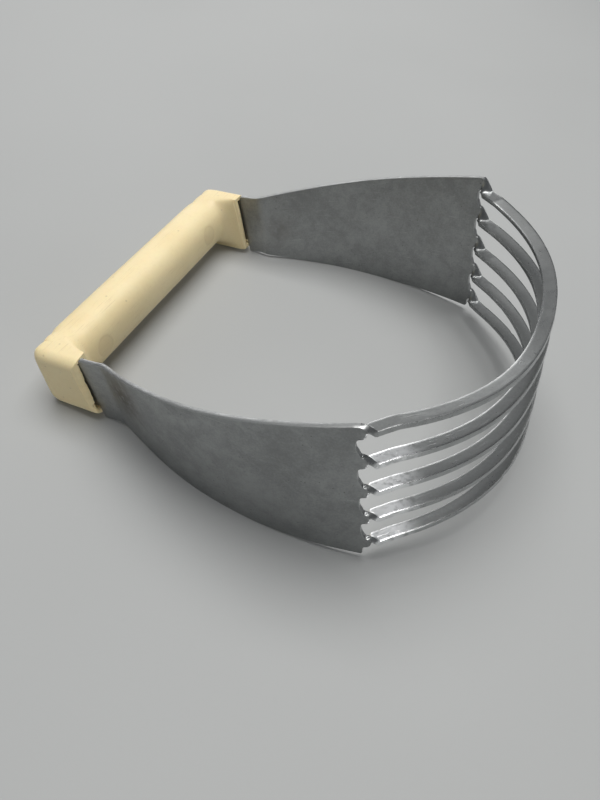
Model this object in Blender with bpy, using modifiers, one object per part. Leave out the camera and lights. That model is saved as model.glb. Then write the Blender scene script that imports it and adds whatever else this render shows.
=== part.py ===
# Pastry (dough) blender lying on its side, as it rests on a table.
#
# One moulded plastic handle grips the two tangs of a sheet-steel hoop.  Each
# tang widens into a bowed, flared wing, and five narrow blades, twisted flat
# at their necks, run round the front of the hoop from wing to wing.
#
# The tool is modelled in its own frame, the band frame: +X from the handle to
# the front of the hoop, +Y to the left, +Z square to the hoop.  The root empty
# then tips that frame about Y until the handle and the wings' lower front
# corners touch the table, with the box's bottom centre at the world's origin.
import bpy
import bmesh
import math
from mathutils import Vector, Matrix

MM = 0.001

# ---- driving dimensions, millimetres ---------------------------------------
SHEET_T = 1.4            # sheet steel thickness
CLEAR = 0.3               # gap between neighbouring pieces

# plan of the wing (x, y) of the left side, centre of the sheet
TANG_Y = 49.5             # half distance between the two tangs
TANG_X0 = -3.5            # inner end of the tang, inside the handle
BEND_X = 15.4             # where the bend outward starts
BEND_R = 8.0              # bend radius
BEND_ANGLE = 23.0         # how far the wing turns outward, degrees
WING_END = (97.3, 57.8)   # front edge of the wing
WING_END_ANGLE = -12.0    # heading there
WING_REACH = (28.0, 30.0) # lengths of the bow's end tangents

# side outline of the wing (z over x)
TANG_Z = (2.9, 19.5)      # tang, bottom and top
SHOULDER_LOW = (8.9, 9.5)    # lower shoulder, just outside the socket's rim
SHOULDER_TOP = (8.6, 9.2)    # upper shoulder
BEND_Z = (-2.1, 21.5)     # bottom and top of the sheet at the bend
EDGE_X0 = 14.2            # where the wing's edges begin to flare
WING_END_Z = (-17.4, 34.5)

# blades
N_BLADES = 5
NECK_LOW = -13.8          # lower edge of the lowest neck
NECK_PITCH = 11.35
NECK_H = 4.0              # height of a neck where it leaves the wing
NECK_STUB = 0.9           # length of neck left on the wing
NECK_ROOT = 2.3           # extra height of the stepped root above a neck
BLADE_W = 3.7             # width of a blade in its own plane
TWIST_END = (100.5, 55.2) # where a blade is fully flat
TWIST_HEADING = -43.0     # heading there
FLAT_DROP = 0.5           # blade plane below the neck's lower edge, there
RUN_START = (104.7, 51.3) # where its long even curve begins
RUN_HEADING = -39.5       # heading there
APEX_X = 128.4
BLADE_SLOPE = (-0.19, -0.124, -0.108, -0.087, -0.009)  # rise over x, top blade first
RIGHT_LIFT = (1.5, 0.5, 1.3, 1.5, 1.5)  # right ends sit this much higher
BLADE_DISH = 0.42         # height of a blade's outer edge over its inner edge

# handle
HANDLE_HALF = 52.5        # half length over the ears
HANDLE_C = (0.0, 11.6)    # centre of the ears, x and z
HANDLE_LEAN = 4.0         # the handle leans forward on the tangs, degrees
BAR_C = (-5.4, 1.2)       # centre of the grip from the centre of the ears
BAR_HALF = (7.9, 8.8)     # half depth and half height of the grip
BAR_POWER = 2.35
EAR_C = (0.8, -0.45)
EAR_HALF = (10.4, 11.0)
EAR_POWER = 7.0
EAR_INNER = 46.2          # inner face of the ear
EAR_RIM = 9.3             # rim of the socket, toward the hoop
EAR_FILLET = 5.5          # fillet between grip and ear, along Y
EAR_ROUND = 3.2           # rounding of the ear's outer edges
EASE_Y = (38.0, 47.5)     # where the grip's back and top run into the ear
SQUARE_Y = (41.0, 48.6)   # where the section squares up
RIM_RAKE = 0.088          # the rim leans back, mm per mm of height
SOCKET_Y = (47.6, 50.7)
SOCKET_X0 = -4.6
SOCKET_HALF_Z = 9.3


def clear_scene():
    for obj in list(bpy.data.objects):
        bpy.data.objects.remove(obj, do_unlink=True)
    for mesh in list(bpy.data.meshes):
        bpy.data.meshes.remove(mesh)


def new_collection(name):
    col = bpy.data.collections.new(name)
    bpy.context.scene.collection.children.link(col)
    return col


def material(name, colour, roughness, metallic):
    mat = bpy.data.materials.new(name)
    mat.use_nodes = True
    bsdf = mat.node_tree.nodes["Principled BSDF"]
    bsdf.inputs["Base Color"].default_value = (*colour, 1.0)
    bsdf.inputs["Roughness"].default_value = roughness
    bsdf.inputs["Metallic"].default_value = metallic
    mat.diffuse_color = (*colour, 1.0)
    return mat


def bezier(p0, p1, p2, p3, count):
    p0, p1, p2, p3 = (Vector(p) for p in (p0, p1, p2, p3))
    pts = []
    for i in range(count):
        t = i / (count - 1)
        u = 1.0 - t
        pts.append(u**3 * p0 + 3*u*u*t * p1 + 3*u*t*t * p2 + t**3 * p3)
    return pts


def heading(deg):
    a = math.radians(deg)
    return Vector((math.cos(a), math.sin(a)))


def slab(name, outline, half, plane, col):
    """A closed 2D curve, filled and extruded, turned into a mesh.
    plane 'XY' extrudes along Z, 'XZ' along Y."""
    curve = bpy.data.curves.new(name, "CURVE")
    curve.dimensions = "2D"
    curve.fill_mode = "BOTH"
    curve.extrude = half * MM
    spline = curve.splines.new("POLY")
    spline.points.add(len(outline) - 1)
    for point, (a, b) in zip(spline.points, outline):
        point.co = (a * MM, b * MM, 0.0, 1.0)
    spline.use_cyclic_u = True
    tmp = bpy.data.objects.new(name + "_curve", curve)
    if plane == "XZ":
        tmp.rotation_euler = (math.radians(90), 0.0, 0.0)
    col.objects.link(tmp)
    bpy.context.view_layer.update()
    mesh = bpy.data.meshes.new_from_object(
        tmp.evaluated_get(bpy.context.evaluated_depsgraph_get()))
    bm = bmesh.new()
    bm.from_mesh(mesh)
    bmesh.ops.remove_doubles(bm, verts=bm.verts, dist=1e-6)
    bmesh.ops.transform(bm, matrix=tmp.matrix_world, verts=bm.verts)
    bmesh.ops.recalc_face_normals(bm, faces=bm.faces)
    bm.to_mesh(mesh)
    bm.free()
    bpy.data.objects.remove(tmp, do_unlink=True)
    bpy.data.curves.remove(curve)
    mesh.name = name
    obj = bpy.data.objects.new(name, mesh)
    col.objects.link(obj)
    return obj


def boolean(obj, cutter, operation):
    mod = obj.modifiers.new(operation.lower(), "BOOLEAN")
    mod.operation = operation
    mod.solver = "EXACT"
    mod.object = cutter
    cutter.hide_render = True
    cutter.display_type = "WIRE"
    return mod


# ---- the wing --------------------------------------------------------------
def wing_plan():
    """Centre line of the left wing, tang to front edge, as (x, y)."""
    pts = [Vector((TANG_X0 - 4.0, TANG_Y)), Vector((4.0, TANG_Y))]
    for i in range(7):
        a = math.radians(BEND_ANGLE) * i / 6
        pts.append(Vector((BEND_X + BEND_R * math.sin(a),
                           TANG_Y + BEND_R * (1.0 - math.cos(a)))))
    start = pts[-1]
    end = Vector(WING_END)
    bow = bezier(start, start + heading(BEND_ANGLE) * WING_REACH[0],
                 end - heading(WING_END_ANGLE) * WING_REACH[1], end, 22)
    pts += bow[1:]
    pts.append(end + heading(WING_END_ANGLE) * 6.0)
    return pts


def ribbon(points, thickness):
    """Closed outline of a strip of even thickness along a centre line."""
    left, right = [], []
    for i, p in enumerate(points):
        a = points[max(i - 1, 0)]
        b = points[min(i + 1, len(points) - 1)]
        d = (b - a).normalized()
        n = Vector((-d.y, d.x)) * (thickness / 2)
        left.append(p + n)
        right.append(p - n)
    return left + right[::-1]


def edge_z(x, top):
    """Height of the wing's top or bottom edge over x, past the bend."""
    z0, z1 = (BEND_Z[1], WING_END_Z[1]) if top else (BEND_Z[0], WING_END_Z[0])
    t = (x - EDGE_X0) / (WING_END[0] - EDGE_X0)
    t = min(max(t, 0.0), 1.0)
    if top:
        ease = t * (0.93 + 0.07 * t)
    else:
        ease = t + 0.125 * math.sin(math.pi * t)
    return z0 + (z1 - z0) * ease


def neck_bottom(index):
    """Lower edge of a neck; the top one is flush with the wing's corner."""
    z = NECK_LOW + NECK_PITCH * (N_BLADES - 1 - index)
    return min(z, WING_END_Z[1] - 0.1 - NECK_H)


def smooth(a, b, t):
    return a + (b - a) * t * t * (3.0 - 2.0 * t)


def wing_outline():
    """Side outline (x, z) of the wing with its tang and its five necks."""
    pts = [(TANG_X0, TANG_Z[0])]
    for i in range(6):                       # lower shoulder
        t = i / 5
        pts.append((SHOULDER_LOW[0] + (SHOULDER_LOW[1] - SHOULDER_LOW[0]) * t,
                    smooth(TANG_Z[0], BEND_Z[0], t)))
    for i in range(1, 17):                   # lower edge
        x = SHOULDER_LOW[1] + (WING_END[0] - SHOULDER_LOW[1]) * i / 16
        pts.append((x, edge_z(x, False)))
    # front edge, bottom to top: necks and the rounded slot ends between them
    front = WING_END[0]
    for k in reversed(range(N_BLADES)):
        z = neck_bottom(k)
        pts.append((front + NECK_STUB, z))
        pts.append((front + NECK_STUB, z + NECK_H))
        if k:
            # stepped root of this neck, then the rounded end of the slot
            pts.append((front + 0.75 * NECK_STUB, z + NECK_H + 0.35))
            pts.append((front + 0.45 * NECK_STUB,
                        z + NECK_H + 0.75 * NECK_ROOT))
            pts.append((front, z + NECK_H + NECK_ROOT))
            above = neck_bottom(k - 1)
            for i in range(0, 5):
                a = math.radians(90) * i / 4
                pts.append((front + 0.8 * NECK_STUB * (1.0 - math.cos(a)),
                            above - 1.2 * (1.0 - math.sin(a))))
    for i in range(16, 0, -1):               # upper edge
        x = SHOULDER_TOP[1] + (WING_END[0] - SHOULDER_TOP[1]) * i / 16
        pts.append((x, edge_z(x, True)))
    for i in range(5, -1, -1):               # upper shoulder
        t = i / 5
        pts.append((SHOULDER_TOP[0] + (SHOULDER_TOP[1] - SHOULDER_TOP[0]) * t,
                    smooth(TANG_Z[1], BEND_Z[1], t)))
    pts.append((TANG_X0, TANG_Z[1]))
    return pts


def build_wing(name, side, col, cutters):
    strip = ribbon(wing_plan(), SHEET_T)
    if side < 0:
        strip = [Vector((p.x, -p.y)) for p in strip][::-1]
    wing = slab(name, [(p.x, p.y) for p in strip], 45.0, "XY", col)
    for v in wing.data.vertices:
        v.co.z += 8.0 * MM
    blank = slab(name + "_outline", wing_outline(), 25.0, "XZ", cutters)
    for v in blank.data.vertices:
        v.co.y += side * 55.0 * MM
    boolean(wing, blank, "INTERSECT")
    return wing, blank


# ---- the blades ------------------------------------------------------------
def blade_plan():
    """Left half of a blade's centre line, wing to apex, as (x, y), and the
    index of the point where it is fully flat."""
    out = heading(WING_END_ANGLE)
    start = Vector(WING_END) + out * ((NECK_STUB + 0.2) / out.x + CLEAR)
    flat, run_from = Vector(TWIST_END), Vector(RUN_START)
    apex = Vector((APEX_X, 0.0))
    neck = bezier(start, start + out * 0.8,
                  flat - heading(TWIST_HEADING) * 0.8, flat, 11)
    knee = bezier(flat, flat + heading(TWIST_HEADING) * 1.2,
                  run_from - heading(RUN_HEADING) * 1.6, run_from, 7)
    run = bezier(run_from, run_from + heading(RUN_HEADING) * 19.0,
                 apex + Vector((0.0, 24.5)), apex, 25)
    return neck + knee[1:] + run[1:], len(neck) - 1


def build_blade(index, col):
    """A strip, upright at the necks and flat past their twist, given the
    sheet's thickness by a solidify modifier."""
    half, flat_index = blade_plan()
    path = half + [Vector((p.x, -p.y)) for p in half[-2::-1]]
    lengths = [0.0]
    for a, b in zip(path, path[1:]):
        lengths.append(lengths[-1] + (b - a).length)
    total = lengths[-1]
    z_neck = neck_bottom(index) + NECK_H / 2
    flat_at = lengths[flat_index]
    dish = math.asin(BLADE_DISH / BLADE_W)

    bm = bmesh.new()
    rows = []
    for i, (p, s) in enumerate(zip(path, lengths)):
        along = path[min(i + 1, len(path) - 1)] - path[max(i - 1, 0)]
        along.normalize()
        t = min(min(s, total - s) / flat_at, 1.0)
        phi = smooth(0.0, math.radians(90) - dish, t)
        width = NECK_H + (BLADE_W - NECK_H) * t
        lift = RIGHT_LIFT[index] * smooth(0.0, 1.0, min(max(
            (-p.y - 5.0) / 42.0, 0.0), 1.0))
        z = smooth(z_neck, z_neck - NECK_H / 2 - FLAT_DROP + lift, t)
        z += BLADE_SLOPE[index] * max(0.0, p.x - RUN_START[0])
        across = Vector((-along.y * math.sin(phi), along.x * math.sin(phi),
                         math.cos(phi)))
        rows.append([bm.verts.new((Vector((p.x, p.y, z))
                                   + across * (width * g)) * MM)
                     for g in (-0.5, 0.0, 0.5)])
    for r0, r1 in zip(rows, rows[1:]):
        for j in range(2):
            bm.faces.new((r0[j], r1[j], r1[j + 1], r0[j + 1]))
    bmesh.ops.recalc_face_normals(bm, faces=bm.faces)
    mesh = bpy.data.meshes.new("blade_%d" % (index + 1))
    bm.to_mesh(mesh)
    bm.free()
    obj = bpy.data.objects.new("blade_%d" % (index + 1), mesh)
    col.objects.link(obj)
    sheet = obj.modifiers.new("sheet", "SOLIDIFY")
    sheet.thickness = SHEET_T * MM
    sheet.offset = 0.0
    sheet.use_even_offset = False
    sheet.use_rim = True
    return obj


# ---- the handle ------------------------------------------------------------
def super_ring(cx, cz, a, b, power, count=56):
    """Points of a rounded section in x and z."""
    ring = []
    for i in range(count):
        q = 2 * math.pi * i / count
        c, s = math.cos(q), math.sin(q)
        ring.append((cx + a * math.copysign(abs(c) ** (2 / power), c),
                     cz + b * math.copysign(abs(s) ** (2 / power), s)))
    return ring


def handle_sections():
    """(y, section) stations of the left half, middle to outer end.  Toward
    the hoop and downward the grip meets the ear in a fillet; its back and its
    top run into the ear gently, and the ear's corners fill out last."""
    grip = (BAR_C[0] - BAR_HALF[0], BAR_C[0] + BAR_HALF[0],
            BAR_C[1] - BAR_HALF[1], BAR_C[1] + BAR_HALF[1])
    ear = (EAR_C[0] - EAR_HALF[0], EAR_C[0] + EAR_HALF[0],
           EAR_C[1] - EAR_HALF[1], EAR_C[1] + EAR_HALF[1])

    def at(y, inset):
        start = EAR_INNER - EAR_FILLET
        q = math.asin(min(max((y - start) / EAR_FILLET, 0.0), 1.0))
        fillet = 1.0 - math.cos(q)
        gentle = smooth(0.0, 1.0, min(max((y - EASE_Y[0])
                                          / (EASE_Y[1] - EASE_Y[0]), 0.0), 1.0))
        square = smooth(0.0, 1.0, min(max((y - SQUARE_Y[0])
                                          / (SQUARE_Y[1] - SQUARE_Y[0]), 0.0), 1.0))
        back = grip[0] + (ear[0] - grip[0]) * gentle + inset
        front = grip[1] + (ear[1] - grip[1]) * fillet
        low = grip[2] + (ear[2] - grip[2]) * fillet + inset
        top = grip[3] + (ear[3] - grip[3]) * gentle - inset
        return ((back + front) / 2, (low + top) / 2,
                (front - back) / 2, (top - low) / 2,
                BAR_POWER + (EAR_POWER - BAR_POWER) * square)

    stations = [(y, at(y, 0.0)) for y in (0.0, 20.0, 38.0)]
    steps = 9
    for i in range(steps + 1):               # the fillet into the ear
        y = EAR_INNER - EAR_FILLET * (1.0 - math.sin(math.radians(90) * i / steps))
        stations.append((y, at(y, 0.0)))
    for y in (46.9, 47.7, 48.5):
        stations.append((y, at(y, 0.0)))
    steps = 5
    for i in range(steps + 1):               # the rounded outer end
        q = math.radians(90) * i / steps
        y = HANDLE_HALF - EAR_ROUND * (1.0 - math.sin(q))
        stations.append((y, at(y, EAR_ROUND * (1.0 - math.cos(q)))))
    return stations


def build_handle(col, cutters):
    """The grip and both ears as one loft along Y, the sockets cut after."""
    stations = handle_sections()
    stations = [(-y, s) for y, s in stations[:0:-1]] + stations
    bm = bmesh.new()
    rings = []
    for y, (cx, cz, a, b, n) in stations:
        rings.append([bm.verts.new((x * MM, y * MM, z * MM))
                      for x, z in super_ring(cx, cz, a, b, n)])
    for r0, r1 in zip(rings, rings[1:]):
        for i in range(len(r0)):
            j = (i + 1) % len(r0)
            bm.faces.new((r0[i], r0[j], r1[j], r1[i]))
    bm.faces.new(rings[0])
    bm.faces.new(rings[-1])
    bmesh.ops.recalc_face_normals(bm, faces=bm.faces)
    mesh = bpy.data.meshes.new("handle")
    bm.to_mesh(mesh)
    bm.free()
    handle = bpy.data.objects.new("handle", mesh)
    col.objects.link(handle)

    def box(name, lo, hi, bevel):
        bpy.ops.mesh.primitive_cube_add(size=1.0)
        obj = bpy.context.active_object
        obj.name = name
        for c in list(obj.users_collection):
            c.objects.unlink(obj)
        cutters.objects.link(obj)
        for v in obj.data.vertices:
            v.co = [(lo[i] + (hi[i] - lo[i]) * (v.co[i] + 0.5)) * MM
                    for i in range(3)]
        if bevel:
            mod = obj.modifiers.new("round", "BEVEL")
            mod.width = bevel * MM
            mod.segments = 3
        return obj

    made = []
    for side, word in ((1, "left"), (-1, "right")):
        y0, y1 = (SOCKET_Y if side > 0 else (-SOCKET_Y[1], -SOCKET_Y[0]))
        rim = box("rim_%s" % word, (EAR_RIM, side * 50.0 - 10.0, -20.0),
                  (EAR_RIM + 8.0, side * 50.0 + 10.0, 20.0), 0.0)
        for v in rim.data.vertices:
            v.co.x -= RIM_RAKE * (v.co.z + 11.0 * MM)
        socket = box("socket_%s" % word, (SOCKET_X0, y0, -SOCKET_HALF_Z),
                     (EAR_RIM + 4.0, y1, SOCKET_HALF_Z), 0.6)
        boolean(handle, rim, "DIFFERENCE")
        boolean(handle, socket, "DIFFERENCE")
        made += [rim, socket]
    for obj in [handle] + made:
        obj.location = (HANDLE_C[0] * MM, 0.0, HANDLE_C[1] * MM)
        obj.rotation_euler = (0.0, math.radians(HANDLE_LEAN), 0.0)
    return handle, made


# ---- resting pose ----------------------------------------------------------
def world_points(obj):
    deps = bpy.context.evaluated_depsgraph_get()
    ev = obj.evaluated_get(deps)
    mesh = ev.to_mesh()
    pts = [ev.matrix_world @ v.co for v in mesh.vertices]
    ev.to_mesh_clear()
    return pts


def settle(root, parts):
    """Tip the tool about Y until handle and wings touch one plane, then put
    the bottom centre of its box at the origin."""
    clouds = {name: world_points(obj) for name, obj in parts.items()}

    def lowest(name, angle):
        s, c = math.sin(angle), math.cos(angle)
        return min(p.x * s + p.z * c for p in clouds[name])

    lo, hi = 0.0, math.radians(25)
    for _ in range(50):
        mid = (lo + hi) / 2
        if lowest("handle", mid) > lowest("left_wing", mid):
            lo = mid
        else:
            hi = mid
    angle = (lo + hi) / 2
    root.rotation_euler = (0.0, -angle, 0.0)
    rot = Matrix.Rotation(-angle, 3, "Y")
    pts = [rot @ p for cloud in clouds.values() for p in cloud]
    root.location = (-(min(p.x for p in pts) + max(p.x for p in pts)) / 2,
                     0.0, -min(p.z for p in pts))
    bpy.context.view_layer.update()
    return angle


def main():
    clear_scene()
    col = new_collection("pastry_blender")
    cutters = new_collection("cutters")
    steel = (0.34, 0.35, 0.36)
    parts = {}
    guides = []
    handle, made = build_handle(col, cutters)
    handle.data.materials.append(
        material("handle_plastic", (0.80, 0.68, 0.45), 0.38, 0.0))
    parts["handle"] = handle
    guides += made
    for name, side in (("left_wing", 1), ("right_wing", -1)):
        wing, blank = build_wing(name, side, col, cutters)
        wing.data.materials.append(material(name + "_steel", steel, 0.45, 1.0))
        parts[name] = wing
        guides.append(blank)
    for k in range(N_BLADES):
        blade = build_blade(k, col)
        blade.data.materials.append(
            material("blade_%d_steel" % (k + 1), steel, 0.35, 1.0))
        parts["blade_%d" % (k + 1)] = blade
    root = bpy.data.objects.new("pastry_blender_root", None)
    col.objects.link(root)
    bpy.context.view_layer.update()
    angle = settle(root, parts)
    for obj in list(parts.values()) + guides:
        obj.parent = root
    for obj in parts.values():
        obj.data.shade_smooth()
        obj.data.set_sharp_from_angle(angle=math.radians(35))
    bpy.context.view_layer.update()
    print("resting tilt %.2f degrees" % math.degrees(angle))


main()
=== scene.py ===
import math

import bmesh
import bpy
import numpy as np
from mathutils import Matrix, Vector, noise

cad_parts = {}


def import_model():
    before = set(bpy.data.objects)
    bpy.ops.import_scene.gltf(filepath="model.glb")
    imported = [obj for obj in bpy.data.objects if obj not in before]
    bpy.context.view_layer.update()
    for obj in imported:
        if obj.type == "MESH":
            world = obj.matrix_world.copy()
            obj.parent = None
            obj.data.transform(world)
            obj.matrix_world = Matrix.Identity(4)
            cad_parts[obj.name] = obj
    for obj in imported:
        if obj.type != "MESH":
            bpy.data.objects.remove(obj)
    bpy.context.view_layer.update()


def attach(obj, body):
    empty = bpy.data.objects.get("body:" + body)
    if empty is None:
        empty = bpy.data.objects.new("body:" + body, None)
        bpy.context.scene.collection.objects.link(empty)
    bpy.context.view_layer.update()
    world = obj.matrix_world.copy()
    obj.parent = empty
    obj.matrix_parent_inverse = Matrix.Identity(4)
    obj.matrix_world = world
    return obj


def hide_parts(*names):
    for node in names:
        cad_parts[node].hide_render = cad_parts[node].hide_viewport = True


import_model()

MM = 0.001
SCENE = bpy.context.scene

# ---------------------------------------------------------------------------
# The tool's own frame, in millimetres (+X handle to front of the hoop, +Y to
# the left, +Z square to the hoop), and where it lies on the table.
# ---------------------------------------------------------------------------
TILT = math.radians(11.186)
SHIFT = (-57.5083, 0.0, 0.6497)
CT, ST = math.cos(TILT), math.sin(TILT)


def world(p):
    x, y, z = p
    return Vector(((x * CT - z * ST + SHIFT[0]) * MM, y * MM,
                   (x * ST + z * CT + SHIFT[2]) * MM))


def turn(v):
    return Vector((v[0] * CT - v[2] * ST, v[1], v[0] * ST + v[2] * CT))


# ---- sizes, as in the CAD model --------------------------------------------
SHEET_T = 1.4
TANG_Y, TANG_X0 = 49.5, -3.5
BEND_X, BEND_R, BEND_ANGLE = 15.4, 8.0, 23.0
WING_END, WING_END_ANGLE, WING_REACH = (97.3, 57.8), -12.0, (28.0, 30.0)
TANG_Z, SHOULDER_LOW, SHOULDER_TOP = (2.9, 19.5), (8.6, 8.85), (8.2, 8.45)
BEND_Z, EDGE_X0, WING_END_Z = (-2.1, 21.5), 14.2, (-17.4, 34.5)
N_BLADES, NECK_LOW, NECK_PITCH, NECK_H = 5, -13.8, 11.35, 4.0
NECK_STUB, NECK_ROOT = 1.0, 2.3
BLADE_W = 3.7
TWIST_END, TWIST_HEADING, FLAT_DROP = (100.5, 55.2), -43.0, 0.5
RUN_START, RUN_HEADING = (104.7, 51.3), -39.5
APEX_X = 128.4
BLADE_SLOPE = (-0.19, -0.124, -0.108, -0.087, -0.009)
RIGHT_LIFT = (1.5, 0.5, 1.3, 1.5, 1.5)
BLADE_DISH = 0.42

HANDLE_HALF, HANDLE_C, HANDLE_LEAN = 52.5, (0.0, 11.6), 4.0
BAR_C, BAR_HALF, BAR_POWER = (-5.4, 1.2), (7.9, 8.8), 2.35
EAR_C, EAR_HALF, EAR_POWER = (0.8, -0.45), (10.4, 11.0), 7.0
EAR_INNER, EAR_RIM, EAR_FILLET, EAR_ROUND = 46.2, 9.3, 5.5, 3.2
EASE_Y, SQUARE_Y = (38.0, 47.5), (41.0, 48.6)
RIM_RAKE = 0.088
SOCKET_Y, SOCKET_X0, SOCKET_HALF_Z = (47.6, 50.7), -4.6, 9.3


def smooth(t):
    t = min(max(t, 0.0), 1.0)
    return t * t * (3.0 - 2.0 * t)


def lerp(a, b, t):
    return a + (b - a) * t


def heading(deg):
    a = math.radians(deg)
    return Vector((math.cos(a), math.sin(a)))


def bezier(p0, p1, p2, p3, count):
    p0, p1, p2, p3 = (Vector(p) for p in (p0, p1, p2, p3))
    out = []
    for i in range(count):
        t = i / (count - 1)
        u = 1.0 - t
        out.append(u**3 * p0 + 3*u*u*t * p1 + 3*u*t*t * p2 + t**3 * p3)
    return out


def rough(p, size, seed=0.0):
    """Smooth noise, -1 to 1, with features of that size in millimetres."""
    return noise.noise(Vector((p[0] / size + seed, p[1] / size - 2.3 * seed,
                               p[2] / size + 0.7 * seed)))


def new_object(name, bm):
    mesh = bpy.data.meshes.new(name)
    bm.to_mesh(mesh)
    bm.free()
    obj = bpy.data.objects.new(name, mesh)
    SCENE.collection.objects.link(obj)
    return obj


# ---------------------------------------------------------------------------
# Camera
# ---------------------------------------------------------------------------
EYE = (131.57395, -137.37099, 131.23397)
RIGHT = (0.9052326, 0.41200339, -0.10395747)
DOWN = (0.22965233, -0.680222, -0.69610188)
AHEAD = (-0.35751049, 0.60626004, -0.71037667)

cam_data = bpy.data.cameras.new("camera")
cam_data.sensor_width = 36.0
cam_data.lens = 27.294
cam_data.clip_start = 0.01
cam_data.clip_end = 50.0
cam = bpy.data.objects.new("camera", cam_data)
SCENE.collection.objects.link(cam)
r, d, a = turn(RIGHT), -turn(DOWN), -turn(AHEAD)
rot = Matrix(((r.x, d.x, a.x), (r.y, d.y, a.y), (r.z, d.z, a.z)))
cam.matrix_world = Matrix.Translation(world(EYE)) @ rot.to_4x4()
SCENE.camera = cam


# ---------------------------------------------------------------------------
# The hoop: one sheet-steel stamping, wings, necks and blades in one mesh
# ---------------------------------------------------------------------------
def wing_line():
    pts = [Vector((TANG_X0, TANG_Y)), Vector((BEND_X - 1.0, TANG_Y))]
    for i in range(25):
        a = math.radians(BEND_ANGLE) * i / 24
        pts.append(Vector((BEND_X + BEND_R * math.sin(a),
                           TANG_Y + BEND_R * (1.0 - math.cos(a)))))
    start, end = pts[-1], Vector(WING_END)
    pts += bezier(start, start + heading(BEND_ANGLE) * WING_REACH[0],
                  end - heading(WING_END_ANGLE) * WING_REACH[1], end, 300)[1:]
    pts.append(end + heading(WING_END_ANGLE) * 4.0)
    return np.array([p.x for p in pts]), np.array([p.y for p in pts])


WING_X, WING_Y = wing_line()


def wing_y(x):
    return float(np.interp(x, WING_X, WING_Y))


def wing_normal(x):
    """Outward normal in plan, at x."""
    dy = wing_y(x + 0.4) - wing_y(x - 0.4)
    n = Vector((-dy, 0.8, 0.0))
    return n.normalized()


def edge_z(x, top):
    z0, z1 = (BEND_Z[1], WING_END_Z[1]) if top else (BEND_Z[0], WING_END_Z[0])
    t = min(max((x - EDGE_X0) / (WING_END[0] - EDGE_X0), 0.0), 1.0)
    ease = t * (0.93 + 0.07 * t) if top else t + 0.125 * math.sin(math.pi * t)
    return z0 + (z1 - z0) * ease


def outline_z(x):
    """Bottom and top of the wing over x, the tang's shoulders included."""
    t = smooth((x - SHOULDER_LOW[0]) / (SHOULDER_LOW[1] - SHOULDER_LOW[0]))
    low = lerp(TANG_Z[0], edge_z(x, False), t)
    t = smooth((x - SHOULDER_TOP[0]) / (SHOULDER_TOP[1] - SHOULDER_TOP[0]))
    top = lerp(TANG_Z[1], edge_z(x, True), t)
    return low, top


def neck_bottom(k):
    z = NECK_LOW + NECK_PITCH * (N_BLADES - 1 - k)
    return min(z, WING_END_Z[1] - NECK_H)


NECK_ROWS = 6


def front_rows():
    """The rows of the wing's grid at its front edge, bottom to top: height,
    how far the row reaches past the edge, and the first row of each neck."""
    rows, first = [], {}
    z = WING_END_Z[0]
    lip = neck_bottom(N_BLADES - 1) - z
    rows += [(z, -0.75), (z + 0.22, -0.25), (z + 0.75, -0.02)]
    rows += [(z + lip * 0.5, 0.0), (z + lip - 1.0, 0.0),
             (z + lip - 0.5, 0.18), (z + lip - 0.16, 0.5)]
    for k in reversed(range(N_BLADES)):
        zb = neck_bottom(k)
        first[k] = len(rows)
        for i in range(NECK_ROWS):
            rows.append((zb + NECK_H * i / (NECK_ROWS - 1), NECK_STUB))
        if k:
            zt, za = zb + NECK_H, neck_bottom(k - 1)
            # the stepped root above the neck, then the round slot end
            for dz, out in ((0.30, 0.80), (0.85, 0.62), (1.5, 0.42),
                            (2.05, 0.20), (2.35, 0.0)):
                rows.append((zt + dz, out))
            for f, out in ((0.33, -0.12), (0.66, -0.12)):
                rows.append((lerp(zt + 2.35, za - 1.15, f), out))
            for dz, out in ((1.15, 0.0), (0.62, 0.16), (0.26, 0.40),
                            (0.08, 0.70)):
                rows.append((za - dz, out))
    return rows, first


ROWS, NECK_FIRST = front_rows()


def wing_columns():
    xs = [TANG_X0, 0.0, 3.5, 6.5, 8.0]
    xs += [8.6 + 2.0 * i / 20 for i in range(21)]
    xs += [11.4, 12.4, 13.4, 14.4]
    xs += [15.0 + 4.0 * i / 14 for i in range(15)]
    n = 76
    xs += [lerp(19.0, 92.0, (i + 1) / n) for i in range(n)]
    xs += [lerp(92.0, 96.6, (i + 1) / 8) for i in range(8)]
    return xs


COLS = wing_columns()


def wing_point(x, f, side):
    """A point of the wing's middle surface; f runs bottom to top."""
    low, top = outline_z(x)
    z = lerp(low, top, f)
    y = wing_y(x)
    n = wing_normal(x)
    away = min(1.0, max(0.0, (x - 16.0) / 20.0)) \
        * min(1.0, max(0.0, (WING_END[0] - 1.0 - x) / 12.0))
    p = Vector((x, y, z))
    w = 0.30 * rough((x, z, 10.0 * side), 31.0, 3.1 + side) \
        + 0.07 * rough((x, z, 4.0 * side), 11.0, 8.4)
    p += n * (w * away)
    p.y *= side
    return p


def blade_line():
    """Half of a blade's centre line, wing to apex, and the index of the
    point where its twist is over."""
    out = heading(WING_END_ANGLE)
    start = Vector(WING_END) + out * (NECK_STUB / out.x)
    flat, run_from = Vector(TWIST_END), Vector(RUN_START)
    apex = Vector((APEX_X, 0.0))
    neck = bezier(start, start + out * 0.8,
                  flat - heading(TWIST_HEADING) * 0.8, flat, 19)
    knee = bezier(flat, flat + heading(TWIST_HEADING) * 1.2,
                  run_from - heading(RUN_HEADING) * 1.6, run_from, 12)
    run = bezier(run_from, run_from + heading(RUN_HEADING) * 19.0,
                 apex + Vector((0.0, 24.5)), apex, 97)
    return neck + knee[1:] + run[1:], len(neck) - 1


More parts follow.
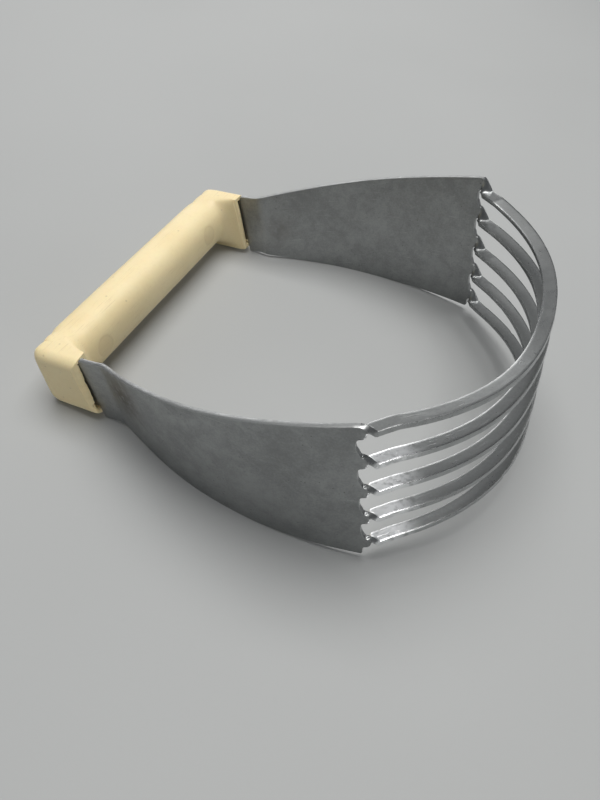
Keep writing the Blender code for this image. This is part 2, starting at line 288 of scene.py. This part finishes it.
def build_hoop():
    bm = bmesh.new()
    edge = bm.verts.layers.float.new("edge")
    flow = bm.verts.layers.float_vector.new("flow")
    zone = bm.verts.layers.float_vector.new("zone")
    # this layer carries a painted highlight near the blades' roots, not a finish
    painted_root_highlight = bm.verts.layers.float.new("painted_root_highlight")
    z_front = [z for z, _ in ROWS]
    z0, z1 = z_front[0], z_front[-1]
    ends = {}
    for side in (1, -1):
        grid = []
        for r, (zf, out) in enumerate(ROWS):
            f = (zf - z0) / (z1 - z0)
            line = []
            x_end = WING_END[0] + out
            for c, x in enumerate(COLS + [None]):
                if x is None:
                    x = x_end
                elif x > 92.0:
                    # the last columns lean to the shape of the front edge
                    t = (x - 92.0) / (97.3 - 92.0)
                    x = x + out * t * t * 0.55
                p = wing_point(x, f, side)
                if x > WING_END[0]:
                    p.z = zf
                v = bm.verts.new(world(p))
                d_edge = min(abs(p.z - outline_z(x)[0]),
                             abs(outline_z(x)[1] - p.z))
                if c == len(COLS) and out < NECK_STUB:
                    d_edge = 0.0
                v[edge] = max(0.0, 1.0 - d_edge / 1.0)
                v[flow] = (x * 1.0, p.z, 3.0 * side)
                v[zone] = (1.0, f, 0.0)
                line.append(v)
            grid.append(line)
        for r0, r1 in zip(grid, grid[1:]):
            for c in range(len(r0) - 1):
                q = (r0[c], r0[c + 1], r1[c + 1], r1[c])
                bm.faces.new(q if side > 0 else q[::-1])
        for k in range(N_BLADES):
            ends[(k, side)] = [grid[NECK_FIRST[k] + i][-1]
                               for i in range(NECK_ROWS)]

    half, n_neck = blade_line()
    path = half + [Vector((p.x, -p.y)) for p in half[-2::-1]]
    lengths = [0.0]
    for a, b in zip(path, path[1:]):
        lengths.append(lengths[-1] + (b - a).length)
    total, flat_at = lengths[-1], lengths[n_neck]
    dish = math.asin(BLADE_DISH / BLADE_W)
    for k in range(N_BLADES):
        z_neck = neck_bottom(k) + NECK_H / 2
        strips = [ends[(k, 1)]]
        last = len(path) - 1
        for i in range(1, last):
            p, s = path[i], lengths[i]
            tangent = (path[i + 1] - path[i - 1]).normalized()
            normal = Vector((-tangent.y, tangent.x))
            near = min(s, total - s)
            t = min(near / flat_at, 1.0)
            phi = smooth(t) * (math.radians(90.0) - dish)
            lift = RIGHT_LIFT[k] * smooth((-p.y - 5.0) / 42.0)
            z = lerp(z_neck, z_neck - NECK_H / 2 - FLAT_DROP + lift, smooth(t))
            z += BLADE_SLOPE[k] * max(0.0, p.x - RUN_START[0])
            free = smooth((near - flat_at) / 12.0)
            width = lerp(NECK_H, BLADE_W, t)
            here = (p.x, p.y, 40.0 * k)
            z += 0.22 * free * rough(here, 24.0, 5.5 + k)
            shove = 0.16 * free * rough(here, 30.0, 9.2 + 2 * k)
            d = Vector((normal.x * math.sin(phi), normal.y * math.sin(phi),
                        math.cos(phi)))
            strip = []
            for j in range(NECK_ROWS):
                g = j / (NECK_ROWS - 1) - 0.5
                q = Vector((p.x, p.y, z)) + d * (g * width)
                q += Vector((normal.x, normal.y, 0.0)) * shove
                v = bm.verts.new(world(q))
                if j in (0, NECK_ROWS - 1):
                    nick = max(0.0, rough((s, 9.0 * j, 31.0 * k), 2.2, 1.7)
                               - 0.42)
                    nick *= 0.55 if k == N_BLADES - 1 else 0.22
                    v.co += turn(-d * math.copysign(nick, g)) * MM
                v[edge] = 1.0 if j in (0, NECK_ROWS - 1) else \
                    (0.35 if j in (1, NECK_ROWS - 2) else 0.0)
                v[flow] = (100.0 + s, g * width, 20.0 * (k + 1))
                # painted highlight mask: strong on the flat faces just past the twist on
                # the right side, weak on blade 1 and on the left side
                left = near - 0.6 * flat_at
                v[painted_root_highlight] = smooth(left / 1.5 + 0.3) * smooth(1.0 - left / 19.0) \
                    * ((0.12 if k == 0 else 1.0) if p.y < 0.0 else 0.25)
                v[zone] = (0.0, k / (N_BLADES - 1.0),
                           1.0 if j == 0 else 0.0)
                strip.append(v)
            strips.append(strip)
        strips.append(ends[(k, -1)])
        for s0, s1 in zip(strips, strips[1:]):
            for j in range(NECK_ROWS - 1):
                bm.faces.new((s0[j], s1[j], s1[j + 1], s0[j + 1]))
    bmesh.ops.recalc_face_normals(bm, faces=bm.faces)
    obj = new_object("hoop_steel", bm)
    solid = obj.modifiers.new("sheet", "SOLIDIFY")
    solid.thickness = SHEET_T * MM
    solid.offset = 0.0
    solid.use_even_offset = False
    solid.use_rim = True
    bevel = obj.modifiers.new("edges", "BEVEL")
    bevel.width = 0.13 * MM
    bevel.segments = 2
    bevel.limit_method = "ANGLE"
    bevel.angle_limit = math.radians(50)
    bevel.harden_normals = False
    obj.data.shade_smooth()
    return obj


# ---------------------------------------------------------------------------
# The handle: grip and ears, moulded in one piece
# ---------------------------------------------------------------------------
LC, LS = math.cos(math.radians(HANDLE_LEAN)), math.sin(math.radians(HANDLE_LEAN))


def handle_to_band(p):
    x, y, z = p
    return (x * LC + z * LS + HANDLE_C[0], y, -x * LS + z * LC + HANDLE_C[1])


def section(cx, cz, a, b, n, marks):
    """A rounded section in x and z, its points at those shares of its length,
    counted from the bottom, over the hoop side and the top."""
    q = np.linspace(-math.pi / 2, 1.5 * math.pi, 2881)
    c, s = np.cos(q), np.sin(q)
    n = np.where((c > 0.0) & (s > 0.0), n[1], n[0])
    x = cx + a * np.sign(c) * np.abs(c) ** (2 / n)
    z = cz + b * np.sign(s) * np.abs(s) ** (2 / n)
    run = np.concatenate(([0.0], np.cumsum(np.hypot(np.diff(x), np.diff(z)))))
    at = np.array(marks) * run[-1]
    return np.interp(at, run, x), np.interp(at, run, z)


# faint round marks left on the grip by the mould's ejector pins
PIN_MARKS = ((-34.0, 0.243, 3.3), (32.0, 0.268, 3.3))


def handle_station(y):
    """Section sizes at |y|. Toward the hoop and downward the grip meets the
    ear in a fillet; its back and top run into the ear gently."""
    y = abs(y)
    grip = (BAR_C[0] - BAR_HALF[0], BAR_C[0] + BAR_HALF[0],
            BAR_C[1] - BAR_HALF[1], BAR_C[1] + BAR_HALF[1])
    ear = (EAR_C[0] - EAR_HALF[0], EAR_C[0] + EAR_HALF[0],
           EAR_C[1] - EAR_HALF[1], EAR_C[1] + EAR_HALF[1])
    start = EAR_INNER - EAR_FILLET
    q = math.asin(min(max((y - start) / EAR_FILLET, 0.0), 1.0))
    fillet = 1.0 - math.cos(q)
    gentle = smooth((y - EASE_Y[0]) / (EASE_Y[1] - EASE_Y[0]))
    square = smooth((y - SQUARE_Y[0]) / (SQUARE_Y[1] - SQUARE_Y[0]))
    inset = 0.0
    if y > HANDLE_HALF - EAR_ROUND:
        q = math.asin(min(1.0, (y - (HANDLE_HALF - EAR_ROUND)) / EAR_ROUND))
        inset = EAR_ROUND * (1.0 - math.cos(q))
    back = lerp(grip[0], ear[0], gentle) + inset
    front = lerp(grip[1], ear[1], fillet)
    low = lerp(grip[2], ear[2], fillet) + inset
    top = lerp(grip[3], ear[3], gentle) - inset
    return ((back + front) / 2, (low + top) / 2, (front - back) / 2,
            (top - low) / 2,
            (lerp(BAR_POWER, EAR_POWER, square),
             lerp(BAR_POWER, EAR_POWER, smooth((y - 42.5) / 7.0))))


def handle_ys():
    ys = list(np.linspace(0.0, 26.0, 14)) + list(np.linspace(26.25, 40.0, 56))
    ys += list(EAR_INNER - EAR_FILLET * (1.0 - np.sin(np.linspace(0.04, math.pi / 2, 30))))
    ys += list(np.linspace(46.4, 49.2, 12))
    ys += list(np.linspace(49.4, 51.9, 16))
    ys += list(HANDLE_HALF - EAR_ROUND * (1.0 - np.sin(np.linspace(0.96, math.pi / 2, 14))))
    ys = sorted(set(round(float(y), 4) for y in ys))
    return [-y for y in ys[:0:-1]] + ys


def rim_limit(y, z):
    """How far the ear reaches toward the hoop. The rim leans back a little;
    its inner and outer edges are rounded off, its inner top corner most, and
    its outer wall slopes back outward, behind a narrow lip that closes it at
    the lower end."""
    y = abs(y)
    lim = EAR_RIM - RIM_RAKE * (z + 11.0)
    lim -= 0.9 * (1.0 - smooth((52.5 - y) / 0.75)) ** 1.5
    lim -= 0.7 * (1.0 - smooth((y - 45.9) / 0.7)) ** 1.5
    lim -= 0.4 * smooth((z - 4.0) / 6.5) * smooth((49.4 - y) / 3.4)
    slope = smooth((y - 50.6) / 1.7) * smooth((z + 8.6) / 1.6)
    lim -= 0.95 * slope * (0.85 + 0.15 * math.sin(z * 1.9)
                           * math.sin(z * 0.63 + 1.0))
    dish = 1.0 - smooth((math.hypot((y - 50.7) * 1.1, z + 7.4) - 0.9) / 0.6)
    return lim - 0.5 * dish


def build_handle():
    marks = list(np.linspace(0.0, 0.16, 22, endpoint=False)) \
        + list(np.linspace(0.16, 0.36, 56, endpoint=False)) \
        + list(np.linspace(0.36, 1.0, 84, endpoint=False))
    bm = bmesh.new()
    wear = bm.verts.layers.float.new("wear")
    rings = []
    for y in handle_ys():
        x, z = section(*handle_station(y), marks)
        ring = []
        for i, m in enumerate(marks):
            px, pz = float(x[i]), float(z[i])
            # the rim of the ear, its edges slightly broken
            if px > 3.0 and abs(y) > 43.0:
                lim = rim_limit(y, pz)
                over = (px - lim) / 0.16
                if over > -8.0:
                    px = lim - 0.16 * math.log1p(math.exp(-over))
            p = Vector((px, y, pz))
            free = smooth((46.0 - abs(y)) / 9.0)
            p.z += 0.10 * free * rough((0.0, y, pz), 26.0, 2.2)
            p.x += 0.08 * free * rough((px, y, 3.0), 22.0, 4.2)
            ring_mark = 0.0
            for cy, cm, rad in PIN_MARKS:
                dist = math.hypot(y - cy, (m - cm) * 52.0)
                if dist < rad + 1.0:
                    g = math.exp(-((dist - rad) / 0.3) ** 2)
                    disc = smooth((rad - dist) / 0.5)
                    p.x -= 0.09 * g + 0.06 * disc
                    ring_mark = max(ring_mark, 0.75 * g + 0.5 * disc)
            v = bm.verts.new(world(handle_to_band(p)))
            v[wear] = ring_mark
            ring.append(v)
        rings.append(ring)
    n = len(marks)
    for r0, r1 in zip(rings, rings[1:]):
        for i in range(n):
            j = (i + 1) % n
            bm.faces.new((r0[i], r0[j], r1[j], r1[i]))
    for ring in (rings[0], rings[-1]):
        # close each end with shrinking rings, so that it is no fan of slivers
        centre = sum((v.co for v in ring), Vector()) / n
        prev = ring
        for f in (0.92, 0.7, 0.4):
            nxt = [bm.verts.new(centre + (v.co - centre) * f) for v in ring]
            for i in range(n):
                j = (i + 1) % n
                bm.faces.new((prev[i], prev[j], nxt[j], nxt[i]))
            prev = nxt
        bm.faces.new(prev)
    bmesh.ops.recalc_face_normals(bm, faces=bm.faces)
    body = new_object("handle_body", bm)
    cutters = []
    for side in (1, -1):
        cutters.append(socket_cutter(side))
    for cut in cutters:
        mod = body.modifiers.new("socket", "BOOLEAN")
        mod.operation = "DIFFERENCE"
        mod.solver = "EXACT"
        mod.object = cut
    bpy.context.view_layer.update()
    deps = bpy.context.evaluated_depsgraph_get()
    mesh = bpy.data.meshes.new_from_object(body.evaluated_get(deps))
    body.modifiers.clear()
    old = body.data
    body.data = mesh
    bpy.data.meshes.remove(old)
    for cut in cutters:
        bpy.data.objects.remove(cut, do_unlink=True)
    body.data.shade_smooth()
    body.data.set_sharp_from_angle(angle=math.radians(42))
    return body


def socket_cutter(side):
    """The slot of one ear: a flat pocket whose outer wall is ragged."""
    outline = []
    inner, outer = SOCKET_Y
    nz = 64
    for i in range(nz + 1):                     # inner wall, bottom to top
        z = lerp(-SOCKET_HALF_Z, SOCKET_HALF_Z, i / nz)
        w = 0.10 * rough((z, 0.0, 3.0 * side), 4.0, 1.3)
        outline.append((inner + w, z))
    for i in range(1, 6):
        outline.append((lerp(inner, outer, i / 6), SOCKET_HALF_Z))
    for i in range(nz, -1, -1):                 # outer wall, top to bottom
        f = i / nz
        z = lerp(-SOCKET_HALF_Z, SOCKET_HALF_Z, f)
        w = 0.30 * rough((z, 5.0, 9.0 * side), 2.6, 6.1 + side) \
            + 0.16 * rough((z, 1.0, 4.0 * side), 1.1, 2.1 + side)
        taper = -0.55 * smooth((f - 0.7) / 0.3) + 0.25 * smooth((0.45 - f) / 0.45)
        ease = smooth(min(f, 1.0 - f) / 0.03)
        outline.append((outer + (w + taper) * ease, z))
    for i in range(5, 0, -1):
        outline.append((lerp(inner, outer, i / 6), -SOCKET_HALF_Z))
    cy = sum(p[0] for p in outline) / len(outline)
    bm = bmesh.new()
    rings = []
    for x, grow in ((SOCKET_X0, -0.25), (SOCKET_X0 + 0.6, 0.0), (2.0, 0.0),
                    (EAR_RIM - 2.4, 0.0), (EAR_RIM - 0.6, 0.12),
                    (EAR_RIM + 4.0, 0.45)):
        ring = []
        for y, z in outline:
            gy = y + grow * (1 if y > cy else -1)
            gz = z + grow * z / SOCKET_HALF_Z
            ring.append(bm.verts.new(world(handle_to_band((x, side * gy, gz)))))
        rings.append(ring)
    n = len(outline)
    for r0, r1 in zip(rings, rings[1:]):
        for i in range(n):
            j = (i + 1) % n
            bm.faces.new((r0[i], r0[j], r1[j], r1[i]))
    bm.faces.new(rings[0])
    bm.faces.new(rings[-1])
    bmesh.ops.recalc_face_normals(bm, faces=bm.faces)
    return new_object("socket_cut", bm)


# ---------------------------------------------------------------------------
# Materials
# ---------------------------------------------------------------------------
class Shade:
    """A short way to write a node tree."""

    def __init__(self, name):
        self.mat = bpy.data.materials.new(name)
        self.mat.use_nodes = True
        self.nt = self.mat.node_tree
        self.bsdf = self.nt.nodes["Principled BSDF"]

    def node(self, kind, **props):
        n = self.nt.nodes.new("ShaderNode" + kind)
        for key, value in props.items():
            setattr(n, key, value)
        return n

    def put(self, socket, value):
        if isinstance(value, bpy.types.NodeSocket):
            self.nt.links.new(value, socket)
        else:
            socket.default_value = value

    def place(self, scale=1000.0, squeeze=(1, 1, 1), turned=(0, 0, 0),
              source=None):
        """Object coordinates in millimetres, stretched and turned."""
        m = self.node("Mapping")
        self.put(m.inputs["Vector"], source or
                 self.node("TexCoord").outputs["Object"])
        m.inputs["Scale"].default_value = [scale * s for s in squeeze]
        m.inputs["Rotation"].default_value = [math.radians(t) for t in turned]
        return m.outputs["Vector"]

    def attr(self, name):
        return self.node("Attribute", attribute_name=name)

    def noise(self, vec, size, detail=4.0, roughness=0.55, distortion=0.0):
        n = self.node("TexNoise")
        self.put(n.inputs["Vector"], vec)
        n.inputs["Scale"].default_value = 1.0 / size
        n.inputs["Detail"].default_value = detail
        n.inputs["Roughness"].default_value = roughness
        n.inputs["Distortion"].default_value = distortion
        return n.outputs["Fac"]

    def cells(self, vec, size, feature="F1"):
        n = self.node("TexVoronoi", feature=feature)
        self.put(n.inputs["Vector"], vec)
        n.inputs["Scale"].default_value = 1.0 / size
        return n.outputs["Distance"]

    def math(self, op, a, b=0.0, c=0.0, clamp=False):
        n = self.node("Math", operation=op, use_clamp=clamp)
        self.put(n.inputs[0], a)
        self.put(n.inputs[1], b)
        if op in ("MULTIPLY_ADD", "SMOOTH_MIN"):
            self.put(n.inputs[2], c)
        return n.outputs[0]

    def span(self, value, a, b, lo=0.0, hi=1.0, smooth_step=True):
        n = self.node("MapRange")
        n.interpolation_type = "SMOOTHSTEP" if smooth_step else "LINEAR"
        self.put(n.inputs["Value"], value)
        n.inputs["From Min"].default_value = a
        n.inputs["From Max"].default_value = b
        n.inputs["To Min"].default_value = lo
        n.inputs["To Max"].default_value = hi
        return n.outputs["Result"]

    def mix(self, fac, a, b, blend="MIX"):
        n = self.node("Mix", data_type="RGBA", blend_type=blend)
        self.put(n.inputs[0], fac)
        self.put(n.inputs[6], (*a, 1.0) if isinstance(a, tuple) else a)
        self.put(n.inputs[7], (*b, 1.0) if isinstance(b, tuple) else b)
        return n.outputs[2]

    def bump(self, height, distance, strength=1.0, normal=None):
        n = self.node("Bump")
        n.inputs["Strength"].default_value = strength
        n.inputs["Distance"].default_value = distance
        self.put(n.inputs["Height"], height)
        if normal is not None:
            self.put(n.inputs["Normal"], normal)
        return n.outputs["Normal"]

    def node_x(self, vec):
        n = self.node("SeparateXYZ")
        self.put(n.inputs[0], vec)
        return n.outputs[0]

    def near(self, centre, radius, squeeze=(1, 1, 1)):
        """1 near a point given in metres, falling to 0 at the radius (mm)."""
        m = self.node("Mapping", vector_type="POINT")
        self.put(m.inputs["Vector"], self.node("TexCoord").outputs["Object"])
        s = [1000.0 * q for q in squeeze]
        m.inputs["Scale"].default_value = s
        m.inputs["Location"].default_value = [-c * k for c, k in zip(centre, s)]
        n = self.node("VectorMath", operation="LENGTH")
        self.put(n.inputs[0], m.outputs["Vector"])
        return self.span(n.outputs["Value"], radius, 0.0)


def steel_material():
    s = Shade("worn_steel")
    v = s.place()
    flow = s.attr("flow").outputs["Vector"]
    edge = s.attr("edge").outputs["Fac"]
    cloud = s.noise(v, 17.0, 5.0, 0.6)
    blotch = s.noise(v, 3.6, 5.0, 0.68, 0.4)
    speck = s.noise(v, 0.55, 3.0, 0.6)
    streak = s.noise(s.place(1.0, (0.055, 1.1, 1.0), source=flow), 1.0, 4.0, 0.6)
    tone = s.math("MULTIPLY_ADD", s.math("SUBTRACT", cloud, 0.5), 0.8,
                  s.math("MULTIPLY_ADD", s.math("SUBTRACT", blotch, 0.5), 0.6,
                         s.math("MULTIPLY_ADD", s.math("SUBTRACT", speck, 0.5),
                                0.45, 0.5)))
    base = s.mix(s.span(tone, 0.22, 0.78), (0.272, 0.280, 0.279),
                 (0.382, 0.392, 0.392))
    base = s.mix(s.span(streak, 0.56, 0.78, 0.0, 0.35), base,
                 (0.30, 0.295, 0.285))
    # hair scratches at three angles
    marks = None
    for ang, size, cut in ((12, 0.55, 0.71), (-38, 0.7, 0.74), (78, 0.6, 0.735)):
        g = s.noise(s.place(1.0, (0.045, 2.2, 1.0), (0, 0, ang), flow),
                    size, 2.0, 0.5)
        g = s.span(g, cut, cut + 0.05)
        marks = g if marks is None else s.math("MAXIMUM", marks, g)
    base = s.mix(s.math("MULTIPLY", marks, 0.45), base, (0.60, 0.61, 0.62))
    # pits and specks of dull oxide
    pit = s.span(s.cells(v, 1.5), 0.16, 0.06)
    pit = s.math("MULTIPLY", pit, s.span(s.noise(v, 9.0, 3.0), 0.52, 0.66))
    base = s.mix(s.math("MULTIPLY", pit, 0.65), base, (0.10, 0.095, 0.09))
    # brown stain past the bend of the right wing, fainter on the left
    for centre, rad, amount in ((world((25.0, -53.2, 15.0)), 11.0, 0.72),
                                (world((22.0, 52.0, 8.0)), 8.0, 0.30)):
        m = s.math("MULTIPLY", s.near(centre, rad, (1.0, 1.0, 0.7)),
                   s.span(s.noise(v, 2.2, 4.0, 0.7), 0.28, 0.52))
        base = s.mix(s.math("MULTIPLY", m, amount), base, (0.085, 0.068, 0.048))
    # brighter along every cut edge: partly rubbed wear, partly a painted edge highlight
    edge_wear_and_highlight = s.math("MULTIPLY", s.span(edge, 0.62, 1.0),
                 s.span(s.noise(v, 2.0, 4.0, 0.7), 0.30, 0.62, 0.35, 1.0))
    base = s.mix(s.math("MULTIPLY", edge_wear_and_highlight, 0.32), base, (0.60, 0.61, 0.61))
    # painted highlight: the base colour goes near white on the blades just past their
    # twist, mostly on the right-hand blades, in place of the light those faces catch
    painted_highlight = s.math("MULTIPLY", s.attr("painted_root_highlight").outputs["Fac"],
                  s.span(s.noise(v, 2.6, 4.0, 0.65), 0.30, 0.58, 0.35, 1.0))
    base = s.mix(s.span(painted_highlight, 0.05, 0.75), base, (0.93, 0.94, 0.95))
    s.put(s.bsdf.inputs["Base Color"], base)
    s.bsdf.inputs["Metallic"].default_value = 1.0
    wing = s.span(s.node_x(s.attr("zone").outputs["Vector"]), 0.0, 1.0, 0.0, 1.0)
    dull = s.math("ADD", s.span(tone, 0.25, 0.75, 0.36, 0.27),
                  s.math("MULTIPLY", wing, 0.14))
    dull = s.math("ADD", dull, s.math("MULTIPLY", pit, 0.2))
    dull = s.math("SUBTRACT", dull, s.math("MULTIPLY", marks, 0.10), clamp=True)
    dull = s.math("SUBTRACT", dull, s.math("MULTIPLY", edge_wear_and_highlight, 0.10), clamp=True)
    s.put(s.bsdf.inputs["Roughness"], dull)
    grain = s.noise(s.place(1.0, (0.25, 5.0, 1.0), source=flow), 1.0, 3.0, 0.6)
    relief = s.math("MULTIPLY_ADD", grain, 0.25,
                    s.math("MULTIPLY_ADD", speck, 0.5,
                           s.math("MULTIPLY_ADD", pit, -0.9,
                                  s.math("MULTIPLY", marks, -0.5))))
    n1 = s.bump(blotch, 0.00016, 0.35)
    s.put(s.bsdf.inputs["Normal"], s.bump(relief, 0.00003, 0.55, n1))
    return s.mat


def plastic_material():
    s = Shade("ivory_plastic")
    v = s.place()
    cloud = s.noise(v, 22.0, 4.0, 0.6)
    fine = s.noise(v, 1.1, 4.0, 0.6)
    base = s.mix(s.span(cloud, 0.3, 0.7), (0.89, 0.735, 0.425),
                 (0.93, 0.788, 0.478))
    base = s.mix(s.span(fine, 0.45, 0.75, 0.0, 0.22), base, (0.80, 0.64, 0.38))
    # scuffs along the grip
    marks = None
    for ang, size, cut in ((2, 0.55, 0.62), (-5, 0.5, 0.65), (14, 0.6, 0.71)):
        g = s.noise(s.place(1000.0, (1.9, 0.05, 1.9), (0, 0, ang)), size, 2.0,
                    0.5)
        g = s.span(g, cut, cut + 0.06)
        marks = g if marks is None else s.math("MAXIMUM", marks, g)
    marks = s.math("MULTIPLY", marks, s.span(s.noise(v, 14.0, 3.0), 0.38, 0.6))
    base = s.mix(s.math("MULTIPLY", marks, 0.34), base, (0.64, 0.48, 0.27))
    grime = s.span(s.cells(v, 5.0), 0.10, 0.03)
    base = s.mix(s.math("MULTIPLY", grime, 0.35), base, (0.42, 0.32, 0.20))
    ring = s.attr("wear").outputs["Fac"]
    base = s.mix(s.math("MULTIPLY", ring, 0.34), base, (0.60, 0.44, 0.23))
    s.put(s.bsdf.inputs["Base Color"], base)
    s.bsdf.inputs["Subsurface Weight"].default_value = 0.10
    s.bsdf.inputs["Subsurface Radius"].default_value = (1.0, 0.6, 0.3)
    s.bsdf.inputs["Subsurface Scale"].default_value = 0.0012
    s.bsdf.inputs["IOR"].default_value = 1.49
    dull = s.math("ADD", s.span(cloud, 0.3, 0.7, 0.40, 0.48),
                  s.math("MULTIPLY", marks, 0.18), clamp=True)
    s.put(s.bsdf.inputs["Roughness"], dull)
    relief = s.math("MULTIPLY_ADD", marks, -0.9,
                    s.math("MULTIPLY", fine, 0.35))
    n1 = s.bump(s.noise(v, 5.5, 3.0, 0.5), 0.00018, 0.30)
    s.put(s.bsdf.inputs["Normal"], s.bump(relief, 0.00003, 0.6, n1))
    return s.mat


def floor_material():
    s = Shade("pale_floor")
    v = s.place()
    base = s.mix(s.span(s.noise(v, 260.0, 3.0, 0.5), 0.3, 0.7),
                 (0.405, 0.414, 0.412), (0.425, 0.434, 0.432))
    base = s.mix(s.span(s.noise(v, 2.5, 4.0, 0.6), 0.55, 0.8, 0.0, 0.10), base,
                 (0.365, 0.374, 0.372))
    s.put(s.bsdf.inputs["Base Color"], base)
    s.bsdf.inputs["Roughness"].default_value = 0.62
    s.put(s.bsdf.inputs["Normal"], s.bump(s.noise(v, 1.4, 4.0, 0.6), 0.00005, 0.25))
    return s.mat


# ---------------------------------------------------------------------------
# Put it together
# ---------------------------------------------------------------------------
STEEL_NODES = ["left_wing", "right_wing"] + ["blade_%d" % (k + 1) for k in range(N_BLADES)]

hoop = build_hoop()
hoop.data.materials.append(steel_material())
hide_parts(*STEEL_NODES)
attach(hoop, "root")

handle = build_handle()
handle.data.materials.clear()
handle.data.materials.append(plastic_material())
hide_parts("handle")
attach(handle, "root")

bm = bmesh.new()
bmesh.ops.create_grid(bm, x_segments=24, y_segments=24, size=3.0)
floor = new_object("floor", bm)
floor.data.materials.append(floor_material())


def area_light(name, place, aim, size, power, colour):
    data = bpy.data.lights.new(name, "AREA")
    data.shape = "RECTANGLE"
    data.size, data.size_y = size
    data.energy = power
    data.color = colour
    obj = bpy.data.objects.new(name, data)
    SCENE.collection.objects.link(obj)
    obj.location = place
    obj.rotation_mode = "QUATERNION"
    obj.rotation_quaternion = (Vector(place) - Vector(aim)).to_track_quat("Z", "Y")
    return obj


area_light("top", (-0.05, 0.22, 1.15), (0.0, 0.0, 0.0), (1.0, 0.8), 13.8,
           (1.0, 0.99, 0.975))
area_light("back", (-0.75, 1.25, 0.42), (0.0, 0.0, 0.04), (1.5, 0.36), 3.8,
           (1.0, 0.995, 0.985))

area_light("front", (0.85, -0.75, 0.30), (0.04, -0.03, 0.02), (0.7, 0.25), 1.6,
           (1.0, 1.0, 1.0))

world_data = bpy.data.worlds.new("studio")
world_data.use_nodes = True
sky = world_data.node_tree.nodes["Background"]
sky.inputs["Color"].default_value = (0.94, 0.97, 1.0, 1.0)
sky.inputs["Strength"].default_value = 0.17
SCENE.world = world_data
SCENE.view_settings.view_transform = "Standard"
SCENE.view_settings.look = "None"

bpy.context.view_layer.update()
